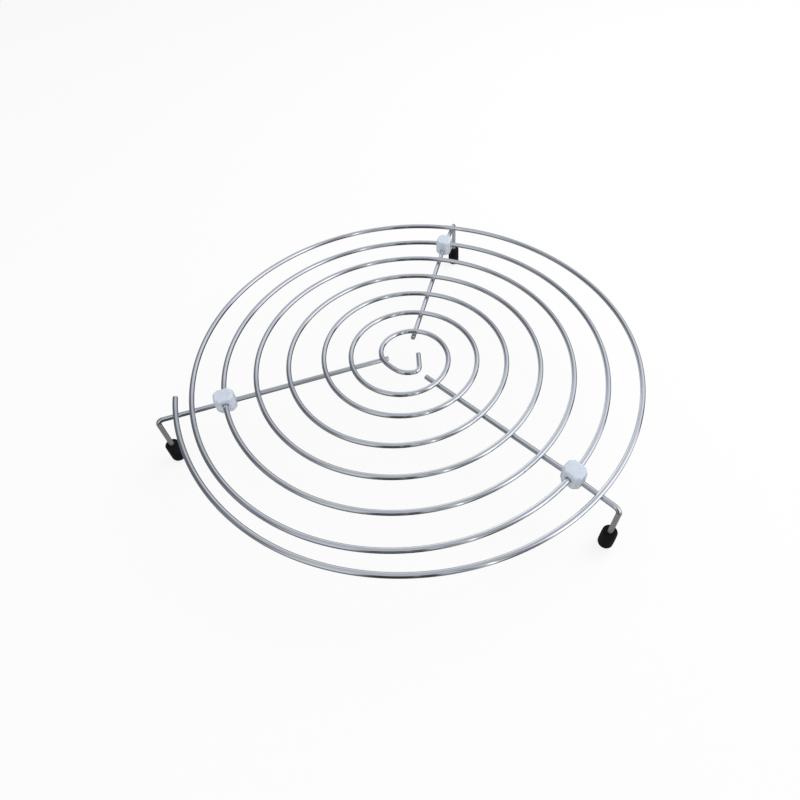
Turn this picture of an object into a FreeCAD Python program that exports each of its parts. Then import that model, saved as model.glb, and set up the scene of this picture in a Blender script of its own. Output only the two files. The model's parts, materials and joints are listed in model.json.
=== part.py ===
import FreeCAD, Part
import Sketcher
import math
import os
from FreeCAD import Vector, Placement, Rotation

# Round wire cooling rack that stands on three folding feet.
#
# Frame: +Z up, the table is Z = 0, the origin is the middle of the rack's
# outline on the table. Millimetres and degrees.
#
# The grid is one wire wound in a flat spiral, clockwise and outwards seen from
# above. Three straight rods run under its inner turns. Each rod ends in a
# two-shell plastic coupling threaded on the grid wire, and the coupling also
# holds the swivel end of an L-shaped leg, which folds up flat about its own
# radial axis. A soft cap is pushed on each leg.

doc = FreeCAD.newDocument("cooling_rack")

# ---------------------------------------------------------------- dimensions
# name, value, note
CELLS = [
    # the wires
    ("grid_wire_diameter", 3.2, "spiral wire"),
    ("rod_wire_diameter", 3.2, "fixed rods under the grid"),
    ("leg_wire_diameter", 3.1, "swivelling legs, thinner so the outer turn runs free over them"),
    ("wire_end_break", 0.25, "broken edge on the cut ends of the grid and the rods"),
    # the grid
    ("grid_axis_height", 44.3, "centre plane of the spiral above the table"),
    ("pole_offset_x", 2.9, "pole of the spiral from the middle of the outline"),
    ("pole_offset_y", -3.9, "pole of the spiral from the middle of the outline"),
    ("grid_end_angle", 2689.1, "polar angle of the outer cut end, clockwise"),
    ("coil_arc_step", 30.0, "polar angle spanned by each pair of tangent arcs, near enough"),
    ("hook_bend_radius", 4.3, "centre-line radius of the hook's bend"),
    ("hook_turn_angle", 76.7, "angle the hook turns through"),
    ("hook_straight_length", 11.9, "straight end of the hook"),
    # the legs
    ("leg_bend_radius", 3.8, "centre-line radius of the bend at the foot"),
    ("leg_end_gap", 0.3, "lower end of the leg above the floor of the cap's bore"),
    # the coupling, in its own frame: x outwards along the leg, z up
    ("coupling_half_length", 6.4, "half length along the leg"),
    ("coupling_half_width", 5.7, "half width along the grid wire"),
    ("coupling_corner", 2.8, "setback of each plan corner's flat, along both sides"),
    ("coupling_upper_height", 7.95, "parting face to the crown"),
    ("coupling_lower_height", 4.4, "parting face to the base"),
    ("coupling_crown_radius", 1.9, "rounding round the crown"),
    ("coupling_base_radius", 2.2, "rounding round the base"),
    ("coupling_side_radius", 1.1, "rounding of the upright edges"),
    ("channel_clearance", 0.12, "radial clearance of the grid wire in its channel"),
    ("mouth_radius", 2.1, "recess where the grid wire enters the coupling"),
    ("mouth_depth", 1.0, "depth of that recess"),
    ("rod_grip_clearance", 0.03, "radial clearance of the rod in its seat"),
    ("swivel_clearance", 0.05, "radial running clearance of the leg in its bore"),
    ("head_radius", 2.2, "upset head on the rod and on the leg"),
    ("head_length", 1.6, "length of both heads"),
    ("head_break", 0.3, "broken edges of the rod's head"),
    ("head_clearance", 0.05, "clearance round both heads"),
    ("rod_head_inner", 2.6, "coupling middle to the rod's end face"),
    ("leg_head_inner", 2.5, "coupling middle to the leg's end face"),
    ("stop_lug_reach", 3.1, "reach of the stop lug from the swivel axis"),
    ("stop_lug_thickness", 1.4, "swivel axis to the far face of the stop lug"),
    ("stop_lug_clearance", 0.04, "clearance at both stops"),
    ("stop_lug_tip_clearance", 0.06, "radial clearance at the lug's corner"),
    ("peg_radius", 1.0, "locating pegs of the lower shell"),
    ("peg_height", 1.2, "height of the pegs"),
    ("peg_spread", 3.6, "pegs from the middle, along the grid wire"),
    ("peg_clearance", 0.03, "radial clearance of the pegs"),
    ("peg_end_clearance", 0.1, "socket depth beyond the peg's height"),
    ("cut_overrun", 1.0, "cutting profiles run this far past the coupling's faces"),
    # the foot caps
    ("cap_radius", 4.55, "outside radius"),
    ("cap_height", 16.3, "overall height"),
    ("cap_bore_depth", 13.3, "depth of the blind bore"),
    ("cap_bore_clearance", 0.01, "radial clearance of the bore on the leg"),
    ("cap_base_radius", 3.15, "rounding round the base"),
    ("cap_mouth_radius", 1.3, "rounding round the mouth"),
]

# One row for each rod and its leg, in the order of SUPPORT_COLUMNS.
SUPPORTS = {
    "left": (-162.48, -4.49, 0.0, 11.3, 162.9, 1964.0),
    "right": (-44.26, -3.29, -2.0, 20.9, 165.1, 2206.0),
    "back": (75.32, 0.33, -2.8, 19.5, 160.3, 2084.0),
}
SUPPORT_COLUMNS = [
    ("azimuth", "direction of the rod, anticlockwise from +X"),
    ("offset", "sideways offset of the rod's line from the pole"),
    ("leg_skew", "leg turned from the rod's line, anticlockwise, at the coupling"),
    ("rod_start", "inner tip of the rod along the line"),
    ("foot_reach", "foot axis from the pole, measured along the line at the coupling"),
    ("carrier_angle", "polar angle, near enough, where the line meets the coupling's turn"),
]

# Radius of the grid's centre line at stated polar angles. The angle counts
# clockwise from +X and keeps growing outwards, so 360 degrees is one turn.
COIL = [
    (70, 16.11), (100, 15.26), (135, 14.13), (180, 16.47), (240, 20.63), (300, 24.48),
    (360, 27.91), (420, 32.24), (480, 35.05), (540, 37.19), (600, 40.46), (660, 43.60),
    (720, 47.30), (780, 49.84), (840, 51.92), (900, 55.49), (960, 60.99), (1020, 64.33),
    (1080, 67.07), (1140, 69.98), (1200, 75.02), (1260, 78.87), (1320, 81.91), (1380, 85.03),
    (1440, 89.18), (1500, 91.85), (1560, 96.27), (1620, 100.33), (1680, 103.48), (1740, 106.63),
    (1800, 110.53), (1860, 114.05), (1920, 117.80), (1980, 121.02), (2040, 124.08), (2100, 128.03),
    (2160, 131.99), (2190, 133.52), (2220, 135.30), (2250, 137.22), (2280, 138.95), (2310, 140.10),
    (2340, 141.26), (2370, 144.18), (2400, 146.75), (2430, 148.87), (2460, 150.08), (2490, 152.27),
    (2520, 154.23), (2550, 152.94), (2580, 151.82), (2610, 150.36), (2640, 149.88), (2665, 149.45),
    (2690, 151.02),
]

for side, values in SUPPORTS.items():
    for (column, note), value in zip(SUPPORT_COLUMNS, values):
        CELLS.append((f"{side}_{column}", value, note))
for angle, radius in COIL:
    CELLS.append((f"coil_radius_at_{angle}", radius, "grid centre line at this polar angle"))

sheet = doc.addObject("Spreadsheet::Sheet", "dims")
for row, (name, value, note) in enumerate(CELLS, start=1):
    sheet.set(f"A{row}", name)
    sheet.set(f"B{row}", repr(float(value)))
    sheet.set(f"C{row}", note)
    sheet.setAlias(f"B{row}", name)
doc.recompute()


def dim(name):
    """A driving dimension, read back from the sheet."""
    return float(sheet.get(name))


# Expressions that several sketches share
HALF_LENGTH = "dims.coupling_half_length"
HALF_WIDTH = "dims.coupling_half_width"
CORNER = "dims.coupling_corner"
LEG_RADIUS = "dims.leg_wire_diameter*0.5"
ROD_RADIUS = "dims.rod_wire_diameter*0.5"
HEAD_SEAT_RADIUS = "dims.head_radius + dims.head_clearance"

# The rods and legs lie a wire's diameter below the grid.
SWIVEL_HEIGHT = dim("grid_axis_height") - dim("grid_wire_diameter")

# Limits that show whether a feature has worked
LEAST_CUT = 0.05
LEAST_GROWTH = 0.01
SWEEP_TOLERANCE = 0.001
LEVEL_TOLERANCE = 1e-4


# ------------------------------------------------------------------- helpers
def new_body(name):
    body = doc.addObject("PartDesign::Body", name)
    body.Label = name
    return body


def plane(body, role):
    return next(f for f in body.Origin.OriginFeatures if f.Role == role)


def sketch(body, name, role="XY_Plane"):
    sk = body.newObject("Sketcher::SketchObject", name)
    sk.AttachmentSupport = [(plane(body, role), "")]
    sk.MapMode = "FlatFace"
    return sk


def value_of(expression):
    """The number behind a sum of products of numbers and the sheet's cells."""
    total = 0.0
    for term in expression.replace(" - ", " + -").split(" + "):
        product = -1.0 if term.startswith("-") else 1.0
        for factor in term.lstrip("-").split("*"):
            product *= dim(factor[5:]) if factor.startswith("dims.") else float(factor)
        total += product
    return total


def drive(feature, prop, expression):
    """Set a property and bind it to the expression."""
    setattr(feature, prop, value_of(expression))
    feature.setExpression(prop, expression)


def bind(sk, kind, arguments, expression):
    """Add a dimensional constraint whose value follows an expression."""
    index = sk.addConstraint(Sketcher.Constraint(kind, *arguments))
    sk.setExpression(f"Constraints[{index}]", expression)


def bind_coordinate(sk, kind, geometry, point, expression):
    """Bind a point's signed, nonzero distance from the sketch's origin.
    The constraint itself is kept positive."""
    value = value_of(expression)
    if value > 0:
        bind(sk, kind, (-1, 1, geometry, point, value), expression)
    else:
        bind(sk, kind, (geometry, point, -1, 1, -value), f"-1*({expression})")


def outline(sk, corners):
    """A closed outline of straight lines. Each corner is a pair of
    expressions, and each coordinate that isn't zero is a driving constraint."""
    points = [Vector(value_of(x), value_of(y), 0) for x, y in corners]
    following = points[1:] + points[:1]
    lines = [sk.addGeometry(Part.LineSegment(start, end), False)
             for start, end in zip(points, following)]
    for line, following_line in zip(lines, lines[1:] + lines[:1]):
        sk.addConstraint(Sketcher.Constraint("Coincident", line, 2, following_line, 1))
    for line, point, corner in zip(lines, points, corners):
        for axis, kind, zero_axis in ((0, "DistanceX", -2), (1, "DistanceY", -1)):
            if abs(point[axis]) < 1e-9:
                sk.addConstraint(Sketcher.Constraint("PointOnObject", line, 1, zero_axis))
            else:
                bind_coordinate(sk, kind, line, 1, corner[axis])


def centred_circle(sk, radius_expression):
    radius = value_of(radius_expression)
    ring = sk.addGeometry(Part.Circle(Vector(0, 0, 0), Vector(0, 0, 1), radius), False)
    bind(sk, "Radius", (ring, radius), radius_expression)
    sk.addConstraint(Sketcher.Constraint("Coincident", ring, 3, -1, 1))


def shift(sk, expression):
    """Move a sketch along its own normal."""
    sk.AttachmentOffset = Placement(Vector(0, 0, value_of(expression)), Rotation())
    sk.setExpression("AttachmentOffset.Base.z", expression)


def volume_of(body):
    """Volume of the body so far, or None while it is empty."""
    return None if body.Shape.isNull() else body.Shape.Volume


def finish(feature, volume_before):
    """Recompute, and stop if the feature left a body that wasn't empty as it was."""
    doc.recompute()
    if volume_before is None:
        return
    growth = feature.Shape.Volume - volume_before
    cuts = feature.TypeId.split("::")[1] in ("Pocket", "Groove", "SubtractiveTorus")
    if cuts and not growth < -LEAST_CUT:
        raise RuntimeError(feature.Label + " removed nothing")
    if not cuts and not growth > LEAST_GROWTH:
        raise RuntimeError(feature.Label + " added nothing")


def extrude(body, kind, name, profile, length, reverse=False):
    """A Pad or a Pocket with its length bound."""
    before = volume_of(body)
    feature = body.newObject("PartDesign::" + kind, name)
    feature.Profile = (profile, [""])
    drive(feature, "Length", length)
    feature.Reversed = reverse
    finish(feature, before)
    return feature


def revolve(body, kind, name, profile, axis="H_Axis"):
    """A full Revolution or Groove about an axis of its own sketch."""
    before = volume_of(body)
    feature = body.newObject("PartDesign::" + kind, name)
    feature.Profile = (profile, [""])
    feature.ReferenceAxis = (profile, [axis])
    feature.Angle = 360.0
    finish(feature, before)
    return feature


def sweep(body, name, section, path, diameter):
    """Sweep a round section along every edge of the path."""
    edges = path.Shape.Edges
    wire = body.newObject("PartDesign::AdditivePipe", name)
    wire.Profile = (section, [""])
    wire.Spine = (path, [f"Edge{i + 1}" for i in range(len(edges))])
    wire.Mode = "Frenet"
    wire.Transition = "Transformed"
    doc.recompute()
    expected = sum(edge.Length for edge in edges) * math.pi * diameter ** 2 / 4
    if abs(wire.Shape.Volume - expected) > SWEEP_TOLERANCE * expected:
        raise RuntimeError(name + " has the wrong volume")
    return wire


def dress(body, kind, name, base, chosen, size_name):
    """A Fillet or Chamfer on those edges of the base that the test chooses."""
    edges = [f"Edge{i + 1}" for i, edge in enumerate(base.Shape.Edges) if chosen(edge)]
    if not edges:
        raise RuntimeError("no edge found on " + base.Label)
    feature = body.newObject("PartDesign::" + kind, name)
    feature.Base = (base, edges)
    drive(feature, "Radius" if kind == "Fillet" else "Size", "dims." + size_name)
    doc.recompute()
    return feature


def at_level(edge, level):
    box = edge.BoundBox
    return abs(box.ZMin - level) < LEVEL_TOLERANCE and abs(box.ZMax - level) < LEVEL_TOLERANCE


# ---------------------------------------------------------- the spiral's law
def natural_spline(xs, ys):
    """Second derivatives of the natural cubic through the given radii, from
    its tridiagonal equations."""
    count = len(xs)
    below = [0.0] * count
    diagonal = [1.0] * count
    above = [0.0] * count
    right = [0.0] * count
    for i in range(1, count - 1):
        span_before = xs[i] - xs[i - 1]
        span_after = xs[i + 1] - xs[i]
        below[i] = span_before
        diagonal[i] = 2 * (span_before + span_after)
        above[i] = span_after
        right[i] = 6 * ((ys[i + 1] - ys[i]) / span_after - (ys[i] - ys[i - 1]) / span_before)
    for i in range(1, count):
        factor = below[i] / diagonal[i - 1]
        diagonal[i] -= factor * above[i - 1]
        right[i] -= factor * right[i - 1]
    second = [0.0] * count
    second[-1] = right[-1] / diagonal[-1]
    for i in range(count - 2, -1, -1):
        second[i] = (right[i] - above[i] * second[i + 1]) / diagonal[i]
    return second


KNOTS = [float(angle) for angle, _ in COIL]
RADII = [dim(f"coil_radius_at_{angle}") for angle, _ in COIL]
SECOND = natural_spline(KNOTS, RADII)


def coil_radius(angle):
    """Radius and its slope per degree at a polar angle."""
    i = 0
    while i < len(KNOTS) - 2 and angle > KNOTS[i + 1]:
        i += 1
    span = KNOTS[i + 1] - KNOTS[i]
    after = (angle - KNOTS[i]) / span
    left = 1 - after
    radius = (left * RADII[i] + after * RADII[i + 1]
              + ((left ** 3 - left) * SECOND[i]
                 + (after ** 3 - after) * SECOND[i + 1]) * span ** 2 / 6)
    slope = ((RADII[i + 1] - RADII[i]) / span
             + ((1 - 3 * left * left) * SECOND[i]
                + (3 * after * after - 1) * SECOND[i + 1]) * span / 6)
    return radius, slope


def coil_point(angle):
    radius, _ = coil_radius(angle)
    polar = math.radians(angle)
    return Vector(radius * math.cos(polar), -radius * math.sin(polar), 0)


def coil_tangent(angle):
    """Unit direction of travel outwards along the wire."""
    radius, slope = coil_radius(angle)
    slope = math.degrees(slope)  # now per radian
    cosine = math.cos(math.radians(angle))
    sine = math.sin(math.radians(angle))
    return Vector(slope * cosine - radius * sine, -slope * sine - radius * cosine, 0).normalize()


def coil_curvature(angle, half_span=2.5):
    """Centre and radius of the circle that the wire follows near this angle."""
    points = [coil_point(angle + step) for step in (-half_span, 0, half_span)]
    ring = Part.Arc(*points).toShape().Curve
    return ring.Center, ring.Radius


def crossing(azimuth, offset, near):
    """Where the line of a rod crosses the turn nearest to a polar angle: the
    polar angle there and the distance along the line."""
    turn = math.radians(azimuth)
    sideways = Vector(-math.sin(turn), math.cos(turn), 0)

    def miss(angle):
        return coil_point(angle).dot(sideways) - offset

    low = near - 20.0
    high = near + 20.0
    miss_low = miss(low)
    for _ in range(60):
        middle = (low + high) / 2
        miss_middle = miss(middle)
        if (miss_middle > 0) == (miss_low > 0):
            low = middle
            miss_low = miss_middle
        else:
            high = middle
    angle = (low + high) / 2
    along = coil_point(angle).dot(Vector(math.cos(turn), math.sin(turn), 0))
    return angle, along


# ------------------------------------------------------------ the grid spiral
def tangent_arc(start, along, end):
    """The arc that leaves start in the direction along and reaches end."""
    chord = end - start
    normal = Vector(-along.y, along.x, 0)
    radius = chord.dot(chord) / (2 * normal.dot(chord))
    centre = start + normal * radius
    middle = (start - centre) + (end - centre)
    middle.normalize()
    return Part.Arc(start, centre + middle * abs(radius), end)


def tangent_arcs(start, start_along, end, end_along):
    """Two arcs that meet smoothly and keep the direction given at each end."""
    chord = end - start
    # the equal tangent length of both arcs solves a quadratic
    square = 2 * (1 - start_along.dot(end_along))
    linear = 2 * chord.dot(start_along + end_along)
    constant = -chord.dot(chord)
    if square > 1e-12:
        root = math.sqrt(linear * linear - 4 * square * constant)
        handle = (-linear + root) / (2 * square)
    else:
        handle = -constant / linear
    near = start + start_along * handle
    far = end - end_along * handle
    meet = (near + far) * 0.5
    return [tangent_arc(start, start_along, meet),
            tangent_arc(meet, (far - near).normalize(), end)]


def make_grid():
    """Spiral wire, drawn about its pole and then moved to its place."""
    body = new_body("spiral_grid")
    first = KNOTS[0]
    last = dim("grid_end_angle")
    steps = int(round((last - first) / dim("coil_arc_step")))
    stations = [first + (last - first) * i / steps for i in range(steps + 1)]
    coil = []
    for start, end in zip(stations[:-1], stations[1:]):
        coil += tangent_arcs(coil_point(start), coil_tangent(start),
                             coil_point(end), coil_tangent(end))

    # The hook leaves the innermost turn along its tangent, bends inwards and
    # ends in a short straight.
    leave = coil_tangent(first) * -1
    turn = math.radians(dim("hook_turn_angle"))
    bend_radius = dim("hook_bend_radius")
    inwards = Vector(-leave.y, leave.x, 0)
    bend_centre = coil_point(first) + inwards * bend_radius
    bend_start_angle = math.atan2(-inwards.y, -inwards.x)

    def bend_point(turned):
        angle = bend_start_angle + turned
        return bend_centre + Vector(math.cos(angle), math.sin(angle), 0) * bend_radius

    bend_end = bend_point(turn)
    heading = math.atan2(leave.y, leave.x) + turn
    away = Vector(math.cos(heading), math.sin(heading), 0)
    hook_tip = bend_end + away * dim("hook_straight_length")

    path = sketch(body, "grid_path")
    hook = [Part.LineSegment(hook_tip, bend_end),
            Part.Arc(bend_end, bend_point(turn / 2), coil_point(first))]
    for piece in hook + coil:
        path.addGeometry(piece, False)
    for i in range(len(hook) + len(coil)):
        path.addConstraint(Sketcher.Constraint("Block", i))

    # The section stands square to the hook's straight end.
    section = sketch(body, "grid_section", "XZ_Plane")
    section.AttachmentOffset = Placement(
        Vector(hook_tip.x, 0, -hook_tip.y),
        Rotation(Vector(0, 1, 0), math.degrees(math.atan2(away.y, away.x)) - 90.0),
    )
    centred_circle(section, "dims.grid_wire_diameter*0.5")
    doc.recompute()
    wire = sweep(body, "grid_wire", section, path, dim("grid_wire_diameter"))

    tips = [hook_tip, coil_point(last)]
    dress(body, "Chamfer", "grid_end_break", wire,
          lambda edge: any(edge.CenterOfMass.distanceToPoint(tip) < 0.05 for tip in tips),
          "wire_end_break")
    names = {"x": "pole_offset_x", "y": "pole_offset_y", "z": "grid_axis_height"}
    body.Placement = Placement(Vector(*[dim(name) for name in names.values()]), Rotation())
    for axis, name in names.items():
        body.setExpression("Placement.Base." + axis, "dims." + name)
    return body


# ------------------------------------------------------------------ the rods
def make_rod(side, length):
    """Straight rod along local x, from its inner tip at -length to the end
    face of its head at x = 0."""
    body = new_body("rod_" + side)
    tip = f"-{length:.6f}"
    profile = sketch(body, f"rod_{side}_profile", "XZ_Plane")
    outline(profile, [
        (tip, "0"),
        (tip, ROD_RADIUS + " - dims.wire_end_break"),
        (tip + " + dims.wire_end_break", ROD_RADIUS),
        ("-1*dims.head_length", ROD_RADIUS),
        ("-1*dims.head_length", "dims.head_radius - dims.head_break"),
        ("-1*dims.head_length + dims.head_break", "dims.head_radius"),
        ("-1*dims.head_break", "dims.head_radius"),
        ("0", "dims.head_radius - dims.head_break"),
        ("0", "0"),
    ])
    revolve(body, "Revolution", f"rod_{side}_turned", profile)
    return body


# ------------------------------------------------------------------ the legs
def make_leg(side, reach):
    """L-shaped leg. Local origin on the swivel axis at the coupling's middle,
    x outwards, z up. The wire starts inside its head, runs out, bends down
    and ends inside the foot cap."""
    body = new_body("leg_" + side)
    start_text = "dims.leg_head_inner + dims.head_length*0.5"
    drop_text = ("dims.grid_axis_height - dims.grid_wire_diameter"
                 " - dims.cap_height + dims.cap_bore_depth - dims.leg_end_gap")
    start = value_of(start_text)
    drop = value_of(drop_text)
    bend_radius = dim("leg_bend_radius")
    bend_x = reach - bend_radius

    path = sketch(body, f"leg_{side}_path", "XZ_Plane")
    arm = path.addGeometry(
        Part.LineSegment(Vector(start, 0, 0), Vector(bend_x, 0, 0)), False)
    bend_circle = Part.Circle(Vector(bend_x, -bend_radius, 0), Vector(0, 0, 1), bend_radius)
    bend = path.addGeometry(Part.ArcOfCircle(bend_circle, 0, math.pi / 2), False)
    shank = path.addGeometry(
        Part.LineSegment(Vector(reach, -bend_radius, 0), Vector(reach, -drop, 0)), False)
    path.addConstraint(Sketcher.Constraint("PointOnObject", arm, 1, -1))
    path.addConstraint(Sketcher.Constraint("Horizontal", arm))
    path.addConstraint(Sketcher.Constraint("Tangent", arm, 2, bend, 2))
    path.addConstraint(Sketcher.Constraint("Tangent", bend, 1, shank, 1))
    path.addConstraint(Sketcher.Constraint("Vertical", shank))
    bind_coordinate(path, "DistanceX", arm, 1, start_text)
    bind(path, "Radius", (bend, bend_radius), "dims.leg_bend_radius")
    path.addConstraint(Sketcher.Constraint("DistanceX", -1, 1, shank, 2, reach))
    bind(path, "DistanceY", (shank, 2, -1, 1, drop), drop_text)

    section = sketch(body, f"leg_{side}_section", "YZ_Plane")
    shift(section, start_text)
    centred_circle(section, LEG_RADIUS)
    doc.recompute()
    sweep(body, f"leg_{side}_wire", section, path, dim("leg_wire_diameter"))

    # upset head that keeps the leg in the coupling
    profile = sketch(body, f"leg_{side}_head_profile", "YZ_Plane")
    shift(profile, "dims.leg_head_inner")
    centred_circle(profile, "dims.head_radius")
    extrude(body, "Pad", f"leg_{side}_head", profile, "dims.head_length")

    # stop lug pressed out on one side of the head
    profile = sketch(body, f"leg_{side}_lug_profile", "YZ_Plane")
    shift(profile, "dims.leg_head_inner")
    outline(profile, [
        ("0", "dims.stop_lug_clearance"),
        ("dims.stop_lug_reach", "dims.stop_lug_clearance"),
        ("dims.stop_lug_reach", "dims.stop_lug_thickness"),
        ("0", "dims.stop_lug_thickness"),
    ])
    extrude(body, "Pad", f"leg_{side}_lug", profile, "dims.head_length")
    return body


# ------------------------------------------------------------- the couplings
def cut_seats(body, rod_turn):
    """The stepped seats of both wire ends. The leg's is turned about local x,
    and the rod's about its own line, which meets it at a small angle."""
    name = body.Label
    rod_seat_radius = ROD_RADIUS + " + dims.rod_grip_clearance"
    leg_seat_radius = LEG_RADIUS + " + dims.swivel_clearance"

    rod_entry = f"-1*{HALF_LENGTH} - dims.cut_overrun"
    rod_step = "-1*dims.rod_head_inner - dims.head_length - dims.head_clearance"
    rod_end = "-1*dims.rod_head_inner + dims.head_clearance"
    profile = sketch(body, name + "_seats", "XZ_Plane")
    profile.AttachmentOffset = Placement(
        Vector(0, 0, 0), Rotation(Vector(0, 1, 0), rod_turn))
    outline(profile, [
        (rod_entry, "0"),
        (rod_entry, rod_seat_radius),
        (rod_step, rod_seat_radius),
        (rod_step, HEAD_SEAT_RADIUS),
        (rod_end, HEAD_SEAT_RADIUS),
        (rod_end, "0"),
    ])
    revolve(body, "Groove", name + "_rod_seat", profile)

    leg_entry = HALF_LENGTH + " + dims.cut_overrun"
    leg_end = "dims.leg_head_inner - dims.head_clearance"
    leg_step = "dims.leg_head_inner + dims.head_length + dims.head_clearance"
    profile = sketch(body, name + "_swivel", "XZ_Plane")
    outline(profile, [
        (leg_entry, "0"),
        (leg_end, "0"),
        (leg_end, HEAD_SEAT_RADIUS),
        (leg_step, HEAD_SEAT_RADIUS),
        (leg_step, leg_seat_radius),
        (leg_entry, leg_seat_radius),
    ])
    revolve(body, "Groove", name + "_swivel_seat", profile)


def make_shell(half, side, rim, rod_turn):
    """What both shells share: an eight-sided block on the parting face at
    local z = 0, rounded at its sides and far rim, with the wires' seats."""
    name = f"coupling_{half}_{side}"
    height_name = f"coupling_{half}_height"
    downwards = half == "lower"
    level = -dim(height_name) if downwards else dim(height_name)
    body = new_body(name)
    plan = sketch(body, name + "_plan")
    outline(plan, [
        (HALF_LENGTH, f"-1*{HALF_WIDTH} + {CORNER}"),
        (HALF_LENGTH, f"{HALF_WIDTH} - {CORNER}"),
        (f"{HALF_LENGTH} - {CORNER}", HALF_WIDTH),
        (f"-1*{HALF_LENGTH} + {CORNER}", HALF_WIDTH),
        (f"-1*{HALF_LENGTH}", f"{HALF_WIDTH} - {CORNER}"),
        (f"-1*{HALF_LENGTH}", f"-1*{HALF_WIDTH} + {CORNER}"),
        (f"-1*{HALF_LENGTH} + {CORNER}", f"-1*{HALF_WIDTH}"),
        (f"{HALF_LENGTH} - {CORNER}", f"-1*{HALF_WIDTH}"),
    ])
    block = extrude(body, "Pad", name + "_block", plan, "dims." + height_name, downwards)
    sides = dress(body, "Fillet", name + "_sides", block,
                  lambda edge: abs(edge.Vertexes[0].Z - edge.Vertexes[1].Z) > 1,
                  "coupling_side_radius")
    dress(body, "Fillet", f"{name}_{rim}", sides,
          lambda edge: at_level(edge, level), f"coupling_{rim}_radius")
    cut_seats(body, rod_turn)
    return body


def peg_circles(sk, radius_expression):
    """Two circles on the local y axis, one for each locating peg."""
    radius = value_of(radius_expression)
    for spread in ("dims.peg_spread", "-1*dims.peg_spread"):
        centre = Vector(0, value_of(spread), 0)
        ring = sk.addGeometry(Part.Circle(centre, Vector(0, 0, 1), radius), False)
        sk.addConstraint(Sketcher.Constraint("PointOnObject", ring, 3, -2))
        bind(sk, "Radius", (ring, radius), radius_expression)
        bind_coordinate(sk, "DistanceY", ring, 3, spread)


def cut_lug_pocket(body):
    """Pocket in which the stop lug swings a quarter turn."""
    name = body.Label
    reach = (math.hypot(dim("stop_lug_reach"), dim("stop_lug_thickness"))
             + dim("stop_lug_tip_clearance"))
    wall_text = "-1*dims.stop_lug_thickness - dims.stop_lug_clearance"
    wall = value_of(wall_text)
    sweep_angle = math.acos(wall / reach)
    sk = sketch(body, name + "_lug_plan", "YZ_Plane")
    shift(sk, "dims.leg_head_inner - dims.head_clearance")
    swing = Part.Circle(Vector(0, 0, 0), Vector(0, 0, 1), reach)
    arc = sk.addGeometry(Part.ArcOfCircle(swing, 0, sweep_angle), False)
    wall_top = Vector(wall, reach * math.sin(sweep_angle), 0)
    wall_foot = Vector(wall, 0, 0)
    upright = sk.addGeometry(Part.LineSegment(wall_top, wall_foot), False)
    floor = sk.addGeometry(Part.LineSegment(wall_foot, Vector(reach, 0, 0)), False)
    sk.addConstraint(Sketcher.Constraint("Coincident", arc, 3, -1, 1))
    sk.addConstraint(Sketcher.Constraint("Coincident", arc, 2, upright, 1))
    sk.addConstraint(Sketcher.Constraint("Coincident", upright, 2, floor, 1))
    sk.addConstraint(Sketcher.Constraint("Coincident", floor, 2, arc, 1))
    sk.addConstraint(Sketcher.Constraint("Vertical", upright))
    sk.addConstraint(Sketcher.Constraint("Horizontal", floor))
    sk.addConstraint(Sketcher.Constraint("PointOnObject", floor, 2, -1))
    sk.addConstraint(Sketcher.Constraint("Radius", arc, reach))
    bind_coordinate(sk, "DistanceX", upright, 2, wall_text)
    extrude(body, "Pocket", name + "_lug_pocket", sk,
            "dims.head_length + 2*dims.head_clearance", reverse=True)


def cut_channel(body, centre, radius):
    """Channel of the grid wire, curved like the wire, with wider mouths."""
    name = body.Label
    before = volume_of(body)
    ring = body.newObject("PartDesign::SubtractiveTorus", name + "_channel")
    ring.AttachmentSupport = [(plane(body, "XY_Plane"), "")]
    ring.MapMode = "FlatFace"
    ring.Radius1 = radius
    drive(ring, "Radius2", "dims.grid_wire_diameter*0.5 + dims.channel_clearance")
    ring.AttachmentOffset = Placement(
        Vector(centre.x, centre.y, dim("grid_wire_diameter")), Rotation())
    ring.setExpression("AttachmentOffset.Base.z", "dims.grid_wire_diameter")
    finish(ring, before)

    mouths = sketch(body, name + "_mouths", "YZ_Plane")
    mouths.AttachmentOffset = Placement(Vector(0, dim("grid_wire_diameter"), 0), Rotation())
    mouths.setExpression("AttachmentOffset.Base.y", "dims.grid_wire_diameter")
    for inner, outer in (
        (f"{HALF_WIDTH} - dims.mouth_depth", f"{HALF_WIDTH} + dims.cut_overrun"),
        (f"-1*{HALF_WIDTH} + dims.mouth_depth", f"-1*{HALF_WIDTH} - dims.cut_overrun"),
    ):
        outline(mouths, [
            (inner, "0"),
            (outer, "0"),
            (outer, "dims.mouth_radius"),
            (inner, "dims.mouth_radius"),
        ])
    revolve(body, "Groove", name + "_mouth_recess", mouths)


def make_upper(side, centre, radius, rod_turn):
    """Upper shell, up to the crown. centre and radius are the circle that the
    grid wire follows here, in the shell's own frame."""
    body = make_shell("upper", side, "crown", rod_turn)
    cut_lug_pocket(body)
    sockets = sketch(body, body.Label + "_socket_plan")
    peg_circles(sockets, "dims.peg_radius + dims.peg_clearance")
    extrude(body, "Pocket", body.Label + "_sockets", sockets,
            "dims.peg_height + dims.peg_end_clearance", reverse=True)
    cut_channel(body, centre, radius)
    return body


def make_lower(side, rod_turn):
    """Lower shell, down to the base, with two locating pegs."""
    body = make_shell("lower", side, "base", rod_turn)
    pegs = sketch(body, body.Label + "_peg_plan")
    peg_circles(pegs, "dims.peg_radius")
    extrude(body, "Pad", body.Label + "_pegs", pegs, "dims.peg_height")
    return body


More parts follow.
